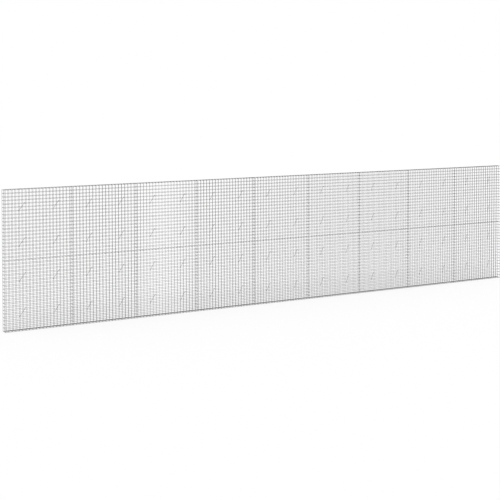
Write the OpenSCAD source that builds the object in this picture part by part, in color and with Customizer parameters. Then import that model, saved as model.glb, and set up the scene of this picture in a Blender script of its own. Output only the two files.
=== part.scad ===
// Gabion fence: a row of narrow welded-mesh baskets, two tiers high, standing empty.
// X runs along the fence, Y from its front to its back, and Z up. The origin is on the
// foot of the left end panel's upright.

/* [Fence] */
// Number of bays along the fence
bays = 9; // [1:1:9]
// Length of one bay, from joint to joint
bay_length = 1008; // [600:8:1500]
// Height of one tier, from level to level
tier_height = 996; // [600:4:1500]
// Depth between the planes of the front and the back uprights
fence_depth = 107; // [80:1:300]

/* [Mesh] */
// Nominal pitch of the wires, both ways
mesh_pitch = 50; // [40:5:100]
// Diameter of the mesh wires
mesh_wire = 4; // [3:0.5:6]
// How far the uprights stand out past the lowest and the highest wire
overhang = 4; // [3:0.5:12]
// Depth by which two welded wires sink into each other
weld_depth = 0.3; // [0.2:0.05:0.6]
// Clearance between wires that only cross or touch
wire_gap = 0.05; // [0.05:0.05:0.25]
// Long wires inside the base mesh
base_wires = 3; // [1:2:5]
// Long wires inside the level mesh and the lid mesh
level_wires = 1; // [1:2:3]

/* [Tie rods] */
// Diameter of a tie rod
tie_wire = 4; // [3:0.5:6]
// Tie rods in one bay, side by side
ties_per_bay = 2; // [1:1:4]
// Rows of tie rods in one tier
ties_per_tier = 2; // [1:1:4]
// Mesh cells from a tie rod's front bend to its back bend, along the fence
tie_run = 2.4; // [2.2:0.1:2.5]
// Mesh cells by which a tie rod climbs from the front to the back
tie_climb = 2; // [0:2:4]
// Angle by which a tie rod's hooks turn on past the vertical
hook_curl = 60; // [0:10:100]

/* [Hidden] */
TIERS = ["lower", "upper"];

steel = "#b9bcbe";
r = mesh_wire / 2;
// Centre distances of wires that only cross, and of wires that are welded together
crossed = mesh_wire + wire_gap;
welded = mesh_wire - weld_depth;

// A panel lies between two joints, clear of the dividers' cross wires that pass there
panel_margin = mesh_wire + 2 * wire_gap;
panel_length = bay_length - 2 * panel_margin;
cells_along = round(panel_length / mesh_pitch);
cells_up = round(tier_height / mesh_pitch);
pitch_along = panel_length / cells_along;
pitch_up = tier_height / cells_up;

// Planes of the uprights and of the line wires, which lie inside the uprights
upright_y = fence_depth / 2;
line_y = upright_y - crossed;
base_z = overhang;
top_z = base_z + len(TIERS) * tier_height;

// Joint planes: the dividers' cross wires lie in them
function joint_x(k) = k * bay_length - welded;
function upright_x(bay, i) = joint_x(bay - 1) + panel_margin + i * pitch_along;
function line_z(j) = base_z + j * pitch_up;

// A straight wire. One that carries the others' welds has eight flat sides, and its flats
// face along the axes.
module wire(length, carrier = false) {
  if (carrier) rotate(22.5) cylinder(d = mesh_wire / cos(22.5), h = length, $fn = 8);
  else cylinder(d = mesh_wire, h = length, $fn = 24);
}

module wire_up(x, y, z, length, carrier = false) {
  translate([x, y, z]) wire(length, carrier);
}

module wire_along(x, y, z, length, carrier = false) {
  translate([x, y, z]) rotate([0, 90, 0]) wire(length, carrier);
}

module wire_across(x, y, z, length) {
  translate([x, y, z]) rotate([-90, 0, 0]) wire(length);
}

// One panel of a bay and tier: uprights outside, line wires inside. Its wires are separate
// solids, so that a panel stays as open to collision as it is. The upper panel stands on the
// lower one's uprights. side is -1 at the front and 1 at the back.
module panel(side, tier, bay) {
  first_line = tier * cells_up + (tier == 0 ? 0 : 1);
  last_line = (tier + 1) * cells_up;
  foot_z = tier == 0 ? 0 : line_z(tier * cells_up) + r + wire_gap;
  head_z = line_z(last_line) + (tier == len(TIERS) - 1 ? overhang : r);
  color(steel) {
    for (i = [0:cells_along])
      wire_up(upright_x(bay, i), side * upright_y, foot_z, head_z - foot_z);
    for (j = [first_line:last_line])
      wire_along(upright_x(bay, 0) - r, side * line_y, line_z(j), panel_length + mesh_wire);
  }
}

// A mesh across the fence in a joint plane: cross wires between the neighbouring panels'
// edge uprights, welded to one upright in the middle. side points at the middle upright.
module cross_panel(joint, side) {
  reach = upright_y + r;
  color(steel) union() {
    wire_up(joint_x(joint) + side * welded, 0, 0, top_z + overhang, carrier = true);
    for (j = [0:cells_up * len(TIERS)])
      wire_across(joint_x(joint), -reach, line_z(j), 2 * reach);
  }
}

// A level mesh in every bay: cross wires that lie on the panels' line wires and end at
// their uprights, and long wires on top of them that end at the dividers. Where the long
// wires carry welds, they join each bay's wires.
module level(z, long_wires, carrier) {
  cross_z = z + crossed;
  long_z = cross_z + (carrier ? welded : crossed);
  reach = upright_y - r - wire_gap;
  spacing = 2 * line_y / (long_wires + 1);
  color(steel) for (bay = [1:bays]) {
    for (i = [1:cells_along - 1])
      wire_across(upright_x(bay, i), -reach, cross_z, 2 * reach);
    for (w = [1:long_wires])
      long_wire(bay, w * spacing - line_y, long_z, carrier);
  }
}

// A long wire of a level mesh: it clears the divider's upright on its left and the
// divider's cross wires on its right.
module long_wire(bay, y, z, carrier) {
  left_x = joint_x(bay - 1) + welded + r + wire_gap;
  right_x = joint_x(bay) - (bay == bays ? welded : 0) - r - wire_gap;
  wire_along(left_x, y, z, right_x - left_x, carrier);
}

module tie_hook(radius, angle) {
  rotate(90) rotate_extrude(angle = angle, $fn = 48) translate([radius, 0]) circle(d = tie_wire, $fn = 24);
}

// One tie rod near the crossing of an upright and a line wire. It runs slantwise through
// the basket, over a line wire of the front panel and a higher one of the back panel, and
// its ends hook round both. The front hook stands against the upright on its left.
module tie_rod(bay, column, line) {
  rest = (mesh_wire + tie_wire) / 2 + wire_gap;
  run = [tie_run * pitch_along, 2 * line_y, tie_climb * pitch_up];
  level_run = norm([run.x, run.y]);
  slope = atan2(run.z, level_run);
  bend = rest * level_run / run.y;
  front_x = upright_x(bay, column - 1) + rest * (1 + run.x / run.y);
  color(steel) translate([front_x, -line_y, line_z(line - tie_climb / 2)])
    rotate([90, 0, atan2(run.y, run.x)]) rotate(slope) union() {
      translate([0, bend, 0]) rotate([0, 90, 0]) cylinder(d = tie_wire, h = norm(run), $fn = 24);
      tie_hook(bend, 90 - slope + hook_curl);
      translate([norm(run), 0, 0]) mirror([1, 0, 0]) tie_hook(bend, 90 + slope + hook_curl);
    }
}

module front_panel(tier, bay) { panel(-1, tier, bay); }
module back_panel(tier, bay) { panel(1, tier, bay); }
module left_end_panel() { cross_panel(0, 1); }
module right_end_panel() { cross_panel(bays, -1); }

module dividers() {
  if (bays > 1) {
    for (joint = [1:bays - 1]) cross_panel(joint, 1);
  }
}

module base_mesh() { level(line_z(0), base_wires, carrier = true); }
module level_mesh() { level(line_z(cells_up), level_wires, carrier = false); }
module lid_mesh() { level(top_z, level_wires, carrier = false); }

module tie_rods() {
  for (bay = [1:bays], a = [1:ties_per_bay], tier = [0:len(TIERS) - 1], b = [1:ties_per_tier])
    tie_rod(
      bay,
      round((a - 0.5) / ties_per_bay * cells_along),
      round((tier + (b - 0.5) / ties_per_tier) * cells_up)
    );
}

for (tier = [0:len(TIERS) - 1], bay = [1:bays]) {
  front_panel(tier, bay);
  back_panel(tier, bay);
}
left_end_panel();
right_end_panel();
dividers();
base_mesh();
level_mesh();
lid_mesh();
tie_rods();
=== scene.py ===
"""Gabion fence of welded wire mesh, standing empty, with its lid on.

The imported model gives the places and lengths. This script dresses it: each mesh gets round
drawn wire with cut ends and a weld at every crossing, neighbouring bays share the upright in
their joint, the tie rods get their bent hooks, and all of it is galvanised.
"""

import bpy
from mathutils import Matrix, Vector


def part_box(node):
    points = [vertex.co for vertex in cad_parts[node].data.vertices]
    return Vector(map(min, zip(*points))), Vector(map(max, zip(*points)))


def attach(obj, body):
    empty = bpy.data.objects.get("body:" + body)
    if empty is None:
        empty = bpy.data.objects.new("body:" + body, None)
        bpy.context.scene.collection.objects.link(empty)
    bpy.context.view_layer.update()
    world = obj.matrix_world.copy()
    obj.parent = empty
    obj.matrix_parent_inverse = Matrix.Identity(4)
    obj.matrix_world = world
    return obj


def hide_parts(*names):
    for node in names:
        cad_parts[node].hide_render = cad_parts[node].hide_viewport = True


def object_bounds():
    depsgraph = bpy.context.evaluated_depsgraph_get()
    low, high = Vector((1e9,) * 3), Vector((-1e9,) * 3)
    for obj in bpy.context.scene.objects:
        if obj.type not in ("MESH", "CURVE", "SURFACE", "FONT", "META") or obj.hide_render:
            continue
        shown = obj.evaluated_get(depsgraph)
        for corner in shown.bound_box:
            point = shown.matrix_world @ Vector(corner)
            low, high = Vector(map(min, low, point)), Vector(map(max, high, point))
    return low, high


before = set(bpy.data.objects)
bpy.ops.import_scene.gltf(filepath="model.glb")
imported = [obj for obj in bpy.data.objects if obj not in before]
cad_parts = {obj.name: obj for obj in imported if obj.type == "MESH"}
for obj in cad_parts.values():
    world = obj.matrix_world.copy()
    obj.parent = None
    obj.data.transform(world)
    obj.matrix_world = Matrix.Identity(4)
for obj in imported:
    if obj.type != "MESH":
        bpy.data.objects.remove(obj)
CAD_BOX = [list(corner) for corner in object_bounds()]

import math

import bpy
import numpy as np
from bpy.props import FloatProperty, FloatVectorProperty, IntProperty, PointerProperty
from bpy.types import Operator, Panel, PropertyGroup

bl_info = {
    "name": "Gabion fence",
    "version": (1, 0, 0),
    "blender": (4, 5, 0),
    "location": "3D View > Sidebar > Fence",
    "description": "Dresses a gabion fence in welded galvanised wire",
    "category": "Object",
}

MM = 0.001
TIERS = ("lower", "upper")
SIDES = {"front": -1, "back": 1}
BAYS = sum(name.startswith("front_panel_lower_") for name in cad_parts)
FENCE_LOW, FENCE_HIGH = (np.array(corner) for corner in CAD_BOX)


def linear(hex_colour):
    """sRGB hex, such as #8e9194, as linear red, green and blue."""
    srgb = [int(hex_colour[i : i + 2], 16) / 255 for i in (1, 3, 5)]
    return tuple(c / 12.92 if c <= 0.04045 else ((c + 0.055) / 1.055) ** 2.4 for c in srgb)


def length_size(name, description, millimetres):
    return FloatProperty(
        name=name, description=description, default=millimetres * MM, unit="LENGTH", precision=5
    )


def colour(name, description, hex_colour):
    return FloatVectorProperty(
        name=name, description=description, default=linear(hex_colour), subtype="COLOR"
    )


class FenceSizes(PropertyGroup):
    """Sizes of the wires, their welds and the tie rods' bends."""

    wire: length_size("Mesh wire", "Diameter of the mesh wires", 4)
    cells: IntProperty(name="Cells", description="Cells along a bay, and up a tier", default=20)
    overhang: length_size("Overhang", "Length of an upright past its last line wire", 4)
    weld_sink: length_size("Weld sink", "Depth by which welded wires sink into each other", 0.3)
    bead: length_size("Bead", "Diameter of the bead that a weld squeezes out", 5.6)
    bead_height: length_size("Bead height", "Thickness of that bead in its middle", 3.4)
    bevel: length_size("Bevel", "Bevel that the shears leave on a cut end", 0.4)
    wire_sides: IntProperty(name="Wire sides", description="Sides of a round wire", default=10)
    bead_sides: IntProperty(name="Bead sides", description="Sides of a weld's bead", default=8)
    tie: length_size("Tie rod", "Diameter of the tie rods", 4)
    tie_clearance: length_size("Tie clearance", "Gap between a hook and its wire", 0.05)
    ties: IntProperty(
        name="Ties", description="Columns of ties in a bay, and rows of them in a tier", default=2
    )
    tie_run: FloatProperty(name="Tie run", description="Cells that a tie passes along", default=2.4)
    tie_climb: IntProperty(name="Tie climb", description="Cells that a tie climbs", default=2)
    hook_curl: FloatProperty(
        name="Hook curl",
        description="Turn of a hook past the vertical",
        default=math.radians(60),
        subtype="ANGLE",
    )
    hook_rings: IntProperty(name="Hook rings", description="Rings along one hook", default=14)
    tip_turn: FloatProperty(
        name="Tip turn",
        description="Turn of a hook that the bevel of its cut end takes up",
        default=0.06,
        subtype="ANGLE",
    )
    crease: FloatProperty(
        name="Crease",
        description="Angle between two faces from which their edge looks sharp",
        default=math.radians(40),
        subtype="ANGLE",
    )


class FenceColours(PropertyGroup):
    """Colours of the zinc on the wires."""

    zinc: colour("Zinc", "Zinc that has gone dull in the weather", "#606061")
    bright_zinc: colour("Bright zinc", "Zinc where the coat is thick and fresh", "#8d8e8e")
    burnt_zinc: colour("Burnt zinc", "Zinc dulled by the heat of a weld", "#575758")
    tie_zinc: colour("Tie zinc", "Zinc of the tie rods, which are dipped on their own", "#7a7a7b")
    floor: colour("Floor", "Grey paint of the studio floor, before its own light", "#a0a0a0")
    dome: colour("Dome", "Colour of the studio dome", "#ffffff")


class FenceStudio(PropertyGroup):
    """The floor, the lights and the lens."""

    floor_width: FloatProperty(
        name="Floor width", description="Side of the square floor", default=300.0, unit="LENGTH"
    )
    floor_light: FloatProperty(
        name="Floor light",
        description="Light of the floor's own, which the eye, gloss and glass see",
        default=0.675,
    )
    dome_light: FloatProperty(
        name="Dome light", description="Soft light of the dome on the fence", default=0.6
    )
    key_light: FloatProperty(name="Key light", description="Strength of the key light", default=1.3)
    key_width: FloatProperty(
        name="Key width",
        description="Angle that the key light fills, which makes its shadows soft",
        default=math.radians(25),
        subtype="ANGLE",
    )
    lens: FloatProperty(name="Lens", description="Focal length in millimetres", default=83.0)
    shift: FloatProperty(
        name="Shift", description="Shift of the frame, as a share of its height", default=-0.25
    )


def sizes():
    return bpy.context.scene.fence_sizes


def colours():
    return bpy.context.scene.fence_colours


def studio():
    return bpy.context.scene.fence_studio


# ---------------------------------------------------------------- finishes


def add_node(tree, kind, settings=(), links=()):
    """Adds a node. settings are (name, value) pairs for its own properties and for its input
    sockets, and links are (input socket, output socket of another node) pairs. A Mix node's
    sockets go by number: 0 is its factor, 2 and 3 mix numbers, and 6 and 7 mix colours."""
    node = tree.nodes.new(kind)
    for name, value in settings:
        if isinstance(name, str) and hasattr(node, name):
            setattr(node, name, value)
        else:
            node.inputs[name].default_value = value
    for name, source in links:
        tree.links.new(node.inputs[name], source)
    return node


def new_material(name):
    """An empty node material and its tree, or the finished one of that name and None."""
    if name in bpy.data.materials:
        return bpy.data.materials[name], None
    material = bpy.data.materials.new(name)
    material.use_nodes = True
    material.node_tree.nodes.clear()
    return material, material.node_tree


def opaque(rgb):
    return (*rgb, 1.0)


def galvanised_drawn_wire():
    """Hot-dip galvanised drawn wire: low-carbon steel pulled through a die and then dipped.
    The eye gets a soft grey metal with no sharp highlight, faint lines along the wire from
    the die, cloudy patches where the zinc froze, and wires of slightly different greys."""
    material, tree = new_material("Galvanised drawn wire")
    if tree is None:
        return material
    place = add_node(tree, "ShaderNodeTexCoord").outputs["Object"]
    # Frozen zinc: patches of about 14 mm, as coarse as a mesh of this size can show
    patches = add_node(
        tree, "ShaderNodeTexNoise", [("Scale", 1 / (14 * MM)), ("Detail", 3.0)], [("Vector", place)]
    )
    patch_share = add_node(
        tree,
        "ShaderNodeMapRange",
        [("From Min", 0.35), ("From Max", 0.65)],
        [("Value", patches.outputs["Fac"])],
    )
    tone = add_node(tree, "ShaderNodeAttribute", [("attribute_name", "wire_tone")])
    share = add_node(
        tree,
        "ShaderNodeMix",
        [(0, 0.4)],
        [(2, patch_share.outputs["Result"]), (3, tone.outputs["Fac"])],
    )
    zinc = add_node(
        tree,
        "ShaderNodeMix",
        [("data_type", "RGBA"), (6, opaque(colours().zinc)), (7, opaque(colours().bright_zinc))],
        [(0, share.outputs[0])],
    )
    # Die lines: ridges 0.5 mm apart round the wire and 40 mm long
    drawn = add_node(tree, "ShaderNodeAttribute", [("attribute_name", "wire_place")])
    stretched = add_node(
        tree,
        "ShaderNodeMapping",
        [("vector_type", "POINT"), ("Scale", (1 / (0.5 * MM), 1 / (0.5 * MM), 1 / (40 * MM)))],
        [("Vector", drawn.outputs["Vector"])],
    )
    die_lines = add_node(
        tree,
        "ShaderNodeTexNoise",
        [("Scale", 1.0), ("Detail", 2.0)],
        [("Vector", stretched.outputs["Vector"])],
    )
    bump = add_node(
        tree,
        "ShaderNodeBump",
        [("Strength", 0.35), ("Distance", 0.05 * MM)],
        [("Height", die_lines.outputs["Fac"])],
    )
    roughness = add_node(
        tree,
        "ShaderNodeMapRange",
        [("To Min", 0.38), ("To Max", 0.58)],
        [("Value", patches.outputs["Fac"])],
    )
    shader = add_node(
        tree,
        "ShaderNodeBsdfPrincipled",
        [("Metallic", 1.0)],
        [
            ("Base Color", zinc.outputs[2]),
            ("Roughness", roughness.outputs["Result"]),
            ("Normal", bump.outputs["Normal"]),
        ],
    )
    add_node(tree, "ShaderNodeOutputMaterial", links=[("Surface", shader.outputs["BSDF"])])
    return material


def weld_bead_metal():
    """Resistance weld under zinc: the two wires are fused by current and squeezed together.
    The eye gets a small, rounder and duller lump at each crossing, pitted by spatter."""
    material, tree = new_material("Zinc-coated resistance weld")
    if tree is None:
        return material
    place = add_node(tree, "ShaderNodeTexCoord").outputs["Object"]
    # Spatter pits of about 1 mm
    pits = add_node(
        tree, "ShaderNodeTexNoise", [("Scale", 1 / (1 * MM)), ("Detail", 2.0)], [("Vector", place)]
    )
    burnt = add_node(
        tree,
        "ShaderNodeMix",
        [("data_type", "RGBA"), (6, opaque(colours().burnt_zinc)), (7, opaque(colours().zinc))],
        [(0, pits.outputs["Fac"])],
    )
    bump = add_node(
        tree,
        "ShaderNodeBump",
        [("Strength", 0.6), ("Distance", 0.2 * MM)],
        [("Height", pits.outputs["Fac"])],
    )
    shader = add_node(
        tree,
        "ShaderNodeBsdfPrincipled",
        [("Metallic", 1.0), ("Roughness", 0.6)],
        [("Base Color", burnt.outputs[2]), ("Normal", bump.outputs["Normal"])],
    )
    add_node(tree, "ShaderNodeOutputMaterial", links=[("Surface", shader.outputs["BSDF"])])
    return material


def galvanised_bent_rod():
    """Bent rod, galvanised: cut, hooked at both ends and then dipped by itself. The eye gets
    a slightly brighter wire than the mesh, with fine streaks along it."""
    material, tree = new_material("Galvanised bent rod")
    if tree is None:
        return material
    drawn = add_node(tree, "ShaderNodeAttribute", [("attribute_name", "wire_place")])
    # Streaks 1 mm apart round the rod and 25 mm long
    stretched = add_node(
        tree,
        "ShaderNodeMapping",
        [("vector_type", "POINT"), ("Scale", (1 / (1 * MM), 1 / (1 * MM), 1 / (25 * MM)))],
        [("Vector", drawn.outputs["Vector"])],
    )
    streaks = add_node(
        tree,
        "ShaderNodeTexNoise",
        [("Scale", 1.0), ("Detail", 3.0)],
        [("Vector", stretched.outputs["Vector"])],
    )
    zinc = add_node(
        tree,
        "ShaderNodeMix",
        [("data_type", "RGBA"), (6, opaque(colours().zinc)), (7, opaque(colours().tie_zinc))],
        [(0, streaks.outputs["Fac"])],
    )
    bump = add_node(
        tree,
        "ShaderNodeBump",
        [("Strength", 0.3), ("Distance", 0.05 * MM)],
        [("Height", streaks.outputs["Fac"])],
    )
    shader = add_node(
        tree,
        "ShaderNodeBsdfPrincipled",
        [("Metallic", 1.0), ("Roughness", 0.42)],
        [("Base Color", zinc.outputs[2]), ("Normal", bump.outputs["Normal"])],
    )
    add_node(tree, "ShaderNodeOutputMaterial", links=[("Surface", shader.outputs["BSDF"])])
    return material


def white_studio_floor():
    """Matt painted studio floor. Its grey takes the fence's faint, soft shadow. The eye, gloss
    and glass also get a light of its own, which brings it up to the white of the backdrop."""
    material, tree = new_material("White studio floor")
    if tree is None:
        return material
    paint = add_node(
        tree,
        "ShaderNodeBsdfPrincipled",
        [("Base Color", opaque(colours().floor)), ("Roughness", 1.0), ("Specular IOR Level", 0.0)],
    )
    light = lifted(tree, seen_or_mirrored(tree), 0.0, studio().floor_light)
    glow = add_node(tree, "ShaderNodeEmission", links=[("Strength", light)])
    both = add_node(tree, "ShaderNodeAddShader", links=[(0, paint.outputs[0]), (1, glow.outputs[0])])
    add_node(tree, "ShaderNodeOutputMaterial", links=[("Surface", both.outputs[0])])
    return material


def seen_or_mirrored(tree):
    """1 for rays from the eye and for those that a gloss or a glass sends on, and 0 for the
    soft light."""
    path = add_node(tree, "ShaderNodeLightPath")
    eye_or_gloss = add_node(
        tree,
        "ShaderNodeMath",
        [("operation", "MAXIMUM")],
        [(0, path.outputs["Is Camera Ray"]), (1, path.outputs["Is Glossy Ray"])],
    )
    return add_node(
        tree,
        "ShaderNodeMath",
        [("operation", "MAXIMUM")],
        [(0, eye_or_gloss.outputs[0]), (1, path.outputs["Is Transmission Ray"])],
    ).outputs[0]


def lifted(tree, share, low, high):
    """low where share is 0, and high where it is 1."""
    return add_node(
        tree, "ShaderNodeMapRange", [("To Min", low), ("To Max", high)], [("Value", share)]
    ).outputs["Result"]


# ---------------------------------------------------------------- shapes


def tubes(centres, across, radii, travelled):
    """Round closed tubes, all of the same number of rings.

    centres is (tubes, rings, 3), across is (tubes, 1, 3) and square to every tube's path,
    and radii and travelled are (tubes, rings). The tangent t is the slope of the centres,
    and a point is centre + radius * (cos a * across + sin a * (t x across)), for a round
    the tube. Flat caps close the ends. Returns a dictionary of points, faces, each point's
    place in its own wire's frame, and each point's tube number.
    """
    sides = sizes().wire_sides
    count, rings = radii.shape
    tangent = np.gradient(centres, axis=1)
    tangent /= np.linalg.norm(tangent, axis=2, keepdims=True)
    other = np.cross(tangent, across)
    turn = np.arange(sides) * (2 * math.pi / sides)
    cos, sin = np.cos(turn)[:, None], np.sin(turn)[:, None]
    spokes = cos * across[:, :, None] + sin * other[:, :, None]
    points = centres[:, :, None] + radii[:, :, None, None] * spokes
    flat = radii[:, :, None] * np.ones(sides)
    along = travelled[:, :, None] * np.ones(sides)
    place = np.stack([flat * np.cos(turn), flat * np.sin(turn), along], -1)
    index = np.arange(count * rings * sides).reshape(count, rings, sides)
    a, b = index[:, :-1], index[:, 1:]
    walls = np.stack([a, np.roll(a, -1, 2), np.roll(b, -1, 2), b], -1).reshape(-1, 4)
    caps = np.concatenate([index[:, 0, ::-1], index[:, -1]])
    return {
        "points": points.reshape(-1, 3),
        "faces": [walls, caps],
        "place": place.reshape(-1, 3),
        "number": np.repeat(np.arange(count), rings * sides),
    }


def straight_wires(starts, axis, stop):
    """Straight wires from starts, an array (wires, 3), along one axis to stop.

    Four rings lie at 0, the bevel, length - bevel and length, and the outer two are
    narrower by the bevel, as on a sheared wire.
    """
    starts = np.asarray(starts, float)
    radius, bevel = sizes().wire / 2, sizes().bevel
    length = stop - starts[:, axis]
    travelled = np.stack([0 * length, bevel + 0 * length, length - bevel, length], 1)
    centres = np.repeat(starts[:, None], 4, 1)
    centres[:, :, axis] += travelled
    across = np.tile(np.roll([0.0, 1.0, 0.0], axis), (len(starts), 1, 1))
    radii = np.tile([radius - bevel, radius, radius, radius - bevel], (len(starts), 1))
    return tubes(centres, across, radii, travelled)


def weld_beads(centres, axis):
    """Weld beads at centres, an array (beads, 3), between wires stacked along axis.

    A bead is a lens: rim points at centre + radius * (cos a, sin a) in the plane of the two
    wires, and two poles at centre +- half its height along axis. A bead on the fence's end
    lies inwards, so that its rim is flush with the wires there.
    """
    sides = sizes().bead_sides
    radius, half = sizes().bead / 2, sizes().bead_height / 2
    inwards = np.array([radius, -np.inf, -np.inf])
    centres = np.clip(centres, FENCE_LOW + inwards, FENCE_HIGH - inwards)
    turn = (np.arange(sides) + 0.5) * (2 * math.pi / sides)
    lens = np.zeros((sides + 2, 3))
    lens[:sides, (axis + 1) % 3] = radius * np.cos(turn)
    lens[:sides, (axis + 2) % 3] = radius * np.sin(turn)
    lens[sides:, axis] = half, -half
    here, there = np.arange(sides), np.roll(np.arange(sides), -1)
    upper = np.stack([here, there, np.full(sides, sides)], -1)
    lower = np.stack([there, here, np.full(sides, sides + 1)], -1)
    first = (sides + 2) * np.arange(len(centres))
    return {
        "points": (centres[:, None] + lens).reshape(-1, 3),
        "faces": [(first[:, None, None] + np.concatenate([upper, lower])).reshape(-1, 3)],
        "place": np.tile(lens, (len(centres), 1)),
        "number": np.repeat(np.arange(len(centres)), sides + 2),
    }


def every(first, second, third):
    """Every combination of three lists of coordinates, as an array (points, 3)."""
    return np.stack(np.meshgrid(first, second, third, indexing="ij"), -1).reshape(-1, 3)


def make_piece(name, node, parts):
    """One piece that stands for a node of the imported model. parts are (shape, material)
    pairs. Each wire gets a random wire_tone from 0 to 1, and each point its wire_place."""
    chance = np.random.default_rng(sum(map(ord, name)))
    points, places, tones, faces, slots = [], [], [], [], []
    materials = list(dict.fromkeys(material for _, material in parts))
    first = 0
    for shape, material in parts:
        number = shape["number"]
        points.append(shape["points"])
        places.append(shape["place"] + chance.random((number[-1] + 1, 3))[number])
        tones.append(chance.random(number[-1] + 1)[number])
        for block in shape["faces"]:
            faces.extend((block + first).tolist())
            slots.extend([materials.index(material)] * len(block))
        first += len(number)
    mesh = bpy.data.meshes.new(name)
    mesh.from_pydata(np.concatenate(points), [], faces)
    for material in materials:
        mesh.materials.append(material)
    mesh.polygons.foreach_set("material_index", slots)
    tone = mesh.attributes.new("wire_tone", "FLOAT", "POINT")
    tone.data.foreach_set("value", np.concatenate(tones))
    place = mesh.attributes.new("wire_place", "FLOAT_VECTOR", "POINT")
    place.data.foreach_set("vector", np.concatenate(places).ravel())
    mesh.shade_smooth()
    mesh.set_sharp_from_angle(angle=sizes().crease)
    piece = bpy.data.objects.new(name, mesh)
    bpy.context.scene.collection.objects.link(piece)
    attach(piece, "root")
    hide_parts(node)
    return piece


# ---------------------------------------------------------------- places on the fence


def joint_xs():
    """X of the joints between bays and of the fence's two ends. The cross wires lie there."""
    radius = sizes().wire / 2
    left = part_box("left_end_panel")[0][0] + radius
    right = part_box("right_end_panel")[1][0] - radius
    return np.linspace(left, right, BAYS + 1)


def upright_xs(bay):
    """X of a bay's uprights. The first and the last stand in its two joints."""
    start, stop = joint_xs()[bay - 1 : bay + 1]
    return np.linspace(start, stop, sizes().cells + 1)


def line_zs():
    """Z of every line wire from the foot to the lid."""
    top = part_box("front_panel_upper_1")[1][2]
    lines = len(TIERS) * sizes().cells + 1
    return np.linspace(sizes().overhang, top - sizes().overhang, lines)


def welded():
    """Distance between the middles of two welded wires."""
    return sizes().wire - sizes().weld_sink


def line_y():
    """Distance of the panels' line wires from the middle of the fence: the tie rods' hooks
    pass outside them and reach the fence's full depth."""
    return FENCE_HIGH[1] - sizes().wire / 2 - sizes().tie_clearance - sizes().tie


def upright_y():
    """Distance of the panels' uprights, to whose inner side the line wires are welded."""
    return line_y() + welded()


# ---------------------------------------------------------------- pieces


def make_panel(side, tier, bay):
    """The front or back mesh of one bay and tier: uprights outside, line wires inside. Two
    bays share the upright in their joint, which is made with the bay on its right, and their
    line wires meet there."""
    node = f"{side}_panel_{tier}_{bay}"
    low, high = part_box(node)
    zs = line_zs()
    zs = zs[: sizes().cells + 1] if tier == TIERS[0] else zs[sizes().cells + 1 :]
    xs = upright_xs(bay)
    start = xs[0] - (sizes().wire / 2 if bay == 1 else 0)
    stop = xs[-1] + (sizes().wire / 2 if bay == BAYS else 0)
    xs = xs if bay == BAYS else xs[:-1]
    out, inner = SIDES[side] * upright_y(), SIDES[side] * line_y()
    wire, weld = galvanised_drawn_wire(), weld_bead_metal()
    return make_piece(
        f"{side}_mesh_{tier}_{bay}",
        node,
        [
            (straight_wires(every(xs, [out], [low[2]]), 2, high[2]), wire),
            (straight_wires(every([start], [inner], zs), 0, stop), wire),
            (weld_beads(every(xs, [(out + inner) / 2], zs), 1), weld),
        ],
    )


def cross_mesh(joint_x, side):
    """Cross wires at every line in a joint plane, butt-welded to the panels' line wires, and
    one upright welded to their middles. side is 1 where the upright stands to the right of
    them, and -1 to the left."""
    zs = line_zs()
    seat = line_y() - sizes().wire / 2
    reach = seat + sizes().weld_sink
    upright_x = joint_x + side * welded()
    top = zs[-1] + sizes().overhang
    wire, weld = galvanised_drawn_wire(), weld_bead_metal()
    return [
        (straight_wires(every([joint_x], [-reach], zs), 1, reach), wire),
        (straight_wires(every([upright_x], [0.0], [0.0]), 2, top), wire),
        (weld_beads(every([(joint_x + upright_x) / 2], [0.0], zs), 0), weld),
        (weld_beads(every([joint_x], [-seat, seat], zs), 1), weld),
    ]


def make_level(node, long_wires):
    """A flat mesh in every bay: cross wires over the panels' line wires, and long_wires
    wires welded on top of them, spread evenly over the depth."""
    low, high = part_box(node)
    cross_z = low[2] + sizes().wire / 2
    long_z = cross_z + welded()
    ys = np.linspace(-line_y(), line_y(), long_wires + 2)[1:-1]
    wire, weld = galvanised_drawn_wire(), weld_bead_metal()
    parts = []
    for bay in range(1, BAYS + 1):
        xs = upright_xs(bay)[1:-1]
        start, stop = long_wire_ends(bay)
        parts.append((straight_wires(every(xs, [low[1]], [cross_z]), 1, high[1]), wire))
        parts.append((straight_wires(every([start], ys, [long_z]), 0, stop), wire))
        parts.append((weld_beads(every(xs, ys, [(cross_z + long_z) / 2]), 2), weld))
    return make_piece(node.replace("_mesh", "_wires"), node, parts)


def long_wire_ends(bay):
    """X of the ends of a bay's long wires. They meet the uprights of the cross meshes at the
    bay's two joints, which stand to the right of a joint and, at the last, to its left."""
    start, stop = joint_xs()[bay - 1 : bay + 1]
    seat = sizes().wire / 2 - sizes().weld_sink
    return start + welded() + seat, stop + (-1 if bay == BAYS else 1) * welded() - seat


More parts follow.
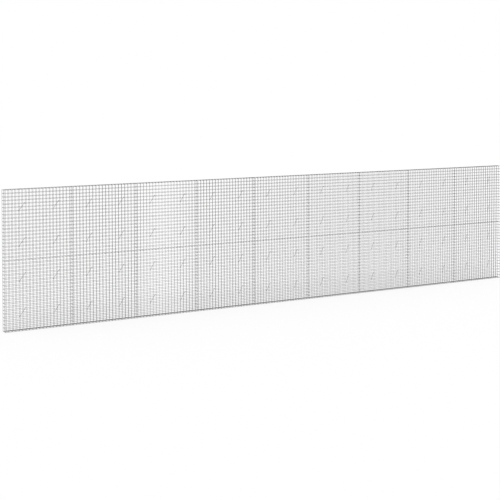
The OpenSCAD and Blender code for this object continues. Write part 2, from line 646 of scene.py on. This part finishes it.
def make_ties():
    """All the tie rods. Seen square to its run, a rod is two arcs joined by a straight: it
    hooks round a front wire, climbs to a back wire further along, and hooks round that. An
    arc's point is centre + bend * (cos f, sin f), with f falling from the front tip's angle
    to 90 degrees and, past the straight, on to the back tip's angle."""
    pitch = upright_xs(1)[1] - upright_xs(1)[0]
    rest = (sizes().wire + sizes().tie) / 2 + sizes().tie_clearance
    run = np.array([sizes().tie_run * pitch, 2 * line_y(), tie_rise()])
    level_run = math.hypot(run[0], run[1])
    slope = math.atan2(run[2], level_run)
    bend = rest * level_run / run[1]
    quarter = math.pi / 2
    front_turn = quarter - slope + sizes().hook_curl
    back_turn = quarter + slope + sizes().hook_curl
    angles = np.concatenate([quarter + hook_angles(front_turn), quarter - hook_angles(back_turn)[::-1]])
    forward = bend * np.cos(angles)
    forward[sizes().hook_rings :] += np.linalg.norm(run)
    upward = bend * np.sin(angles)
    level = run * [1, 1, 0] / level_run
    ahead = math.cos(slope) * level + [0, 0, math.sin(slope)]
    above = -math.sin(slope) * level + [0, 0, math.cos(slope)]
    path = forward[:, None] * ahead + upward[:, None] * above
    feet = tie_feet(rest * (1 + run[0] / run[1]))
    centres = feet[:, None] + path
    across = np.tile(np.cross(ahead, above), (len(feet), 1, 1))
    radii = np.full(centres.shape[:2], sizes().tie / 2)
    radii[:, [0, -1]] -= sizes().bevel
    steps = np.linalg.norm(np.diff(path, axis=0), axis=1)
    travelled = np.tile(np.concatenate([[0], np.cumsum(steps)]), (len(feet), 1))
    shape = tubes(centres, across, radii, travelled)
    return make_piece("tie_wires", "tie_rods", [(shape, galvanised_bent_rod())])


def hook_angles(turn):
    """Turn of each ring of a hook, from its tip down to 0. The first step is the bevel."""
    even = np.linspace(turn, 0, sizes().hook_rings - 1)
    return np.insert(even, 1, turn - sizes().tip_turn)


def tie_rise():
    zs = line_zs()
    return sizes().tie_climb * (zs[1] - zs[0])


def tie_feet(shift):
    """The middles of the front hooks: just below each tie's middle line, and shift past the
    upright before its column."""
    share = (np.arange(sizes().ties) + 0.5) / sizes().ties
    columns = np.rint(share * sizes().cells).astype(int)
    rows = np.rint(np.add.outer(range(len(TIERS)), share).ravel() * sizes().cells).astype(int)
    xs = np.concatenate([upright_xs(bay)[columns - 1] for bay in range(1, BAYS + 1)]) + shift
    return every(xs, [-line_y()], line_zs()[rows - sizes().tie_climb // 2])


class FENCE_OT_panels(Operator):
    """Weaves the front and back panels of every bay and tier"""

    bl_idname = "fence.panels"
    bl_label = "Front and back panels"

    def execute(self, context):
        for side in SIDES:
            for tier in TIERS:
                for bay in range(1, BAYS + 1):
                    make_panel(side, tier, bay)
        return {"FINISHED"}


class FENCE_OT_ends(Operator):
    """Closes the fence with a mesh across each end"""

    bl_idname = "fence.ends"
    bl_label = "End panels"

    def execute(self, context):
        make_piece("left_end_wires", "left_end_panel", cross_mesh(joint_xs()[0], 1))
        make_piece("right_end_wires", "right_end_panel", cross_mesh(joint_xs()[-1], -1))
        return {"FINISHED"}


class FENCE_OT_dividers(Operator):
    """Sets a mesh across the fence at every joint between two bays"""

    bl_idname = "fence.dividers"
    bl_label = "Dividers"

    def execute(self, context):
        parts = []
        for joint_x in joint_xs()[1:-1]:
            parts += cross_mesh(joint_x, 1)
        make_piece("divider_wires", "dividers", parts)
        return {"FINISHED"}


class FENCE_OT_levels(Operator):
    """Lays the base mesh, the mesh between the tiers and the lid"""

    bl_idname = "fence.levels"
    bl_label = "Base, level and lid meshes"

    def execute(self, context):
        make_level("base_mesh", long_wires=3)
        make_level("level_mesh", long_wires=1)
        make_level("lid_mesh", long_wires=1)
        return {"FINISHED"}


class FENCE_OT_ties(Operator):
    """Hooks the tie rods between the front and the back panels"""

    bl_idname = "fence.ties"
    bl_label = "Tie rods"

    def execute(self, context):
        make_ties()
        return {"FINISHED"}


class FENCE_OT_stage(Operator):
    """Sets the floor, the soft light and the camera"""

    bl_idname = "fence.stage"
    bl_label = "Stage"

    def execute(self, context):
        lay_floor()
        light_studio()
        place_camera()
        return {"FINISHED"}


# ---------------------------------------------------------------- stage


def lay_floor():
    """A flat square under the fence, wide enough to pass behind it for any low camera."""
    reach = np.array([-0.5, 0.5]) * studio().floor_width
    corners = every(reach, reach, [0.0]) + [FENCE_HIGH[0] / 2, 0, 0]
    mesh = bpy.data.meshes.new("studio_floor")
    mesh.from_pydata(corners, [], [(0, 2, 3, 1)])
    mesh.materials.append(white_studio_floor())
    floor = bpy.data.objects.new("studio_floor", mesh)
    bpy.context.scene.collection.objects.link(floor)


def light_studio():
    """An even white dome with a broad, soft key light from above the front left."""
    world = bpy.data.worlds.new("Studio dome")
    bpy.context.scene.world = world
    world.use_nodes = True
    tree = world.node_tree
    tree.nodes.clear()
    light = lifted(tree, seen_or_mirrored(tree), studio().dome_light, 1.0)
    dome = add_node(
        tree, "ShaderNodeBackground", [("Color", opaque(colours().dome))], [("Strength", light)]
    )
    add_node(tree, "ShaderNodeOutputWorld", links=[("Surface", dome.outputs[0])])
    key = bpy.data.lights.new("key", "SUN")
    key.energy = studio().key_light
    key.angle = studio().key_width
    lamp = bpy.data.objects.new("key", key)
    lamp.rotation_euler = (math.radians(38), 0, math.radians(-30))
    bpy.context.scene.collection.objects.link(lamp)


def place_camera():
    """A camera off the fence's left end, in front of it and above it. It looks nearly level,
    which keeps the uprights upright, and its frame is shifted down to the fence."""
    lens = bpy.data.cameras.new("camera")
    lens.lens = studio().lens
    lens.shift_y = studio().shift
    camera = bpy.data.objects.new("camera", lens)
    camera.location = (-4.968, -15.608, 3.503)
    camera.rotation_euler = [math.radians(turn) for turn in (87.840, 0.061, -29.779)]
    bpy.context.scene.collection.objects.link(camera)
    bpy.context.scene.camera = camera
    bpy.context.scene.view_settings.view_transform = "Standard"


class FENCE_PT_panel(Panel):
    """Sizes, colours and making of the fence"""

    bl_idname = "FENCE_PT_panel"
    bl_label = "Gabion fence"
    bl_space_type = "VIEW_3D"
    bl_region_type = "UI"
    bl_category = "Fence"

    def draw(self, context):
        for group in (sizes(), colours(), studio()):
            box = self.layout.box()
            for name in group.bl_rna.properties.keys():
                if name not in ("rna_type", "name"):
                    box.prop(group, name)
        for operator in OPERATORS:
            self.layout.operator(operator.bl_idname)


OPERATORS = (
    FENCE_OT_panels,
    FENCE_OT_ends,
    FENCE_OT_dividers,
    FENCE_OT_levels,
    FENCE_OT_ties,
    FENCE_OT_stage,
)
CLASSES = (FenceSizes, FenceColours, FenceStudio, *OPERATORS, FENCE_PT_panel)


def register():
    for cls in CLASSES:
        bpy.utils.register_class(cls)
    bpy.types.Scene.fence_sizes = PointerProperty(type=FenceSizes)
    bpy.types.Scene.fence_colours = PointerProperty(type=FenceColours)
    bpy.types.Scene.fence_studio = PointerProperty(type=FenceStudio)


def unregister():
    del bpy.types.Scene.fence_studio
    del bpy.types.Scene.fence_colours
    del bpy.types.Scene.fence_sizes
    for cls in reversed(CLASSES):
        bpy.utils.unregister_class(cls)


def main():
    register()
    bpy.ops.fence.panels()
    bpy.ops.fence.ends()
    bpy.ops.fence.dividers()
    bpy.ops.fence.levels()
    bpy.ops.fence.ties()
    bpy.ops.fence.stage()


if __name__ == "__main__":
    main()
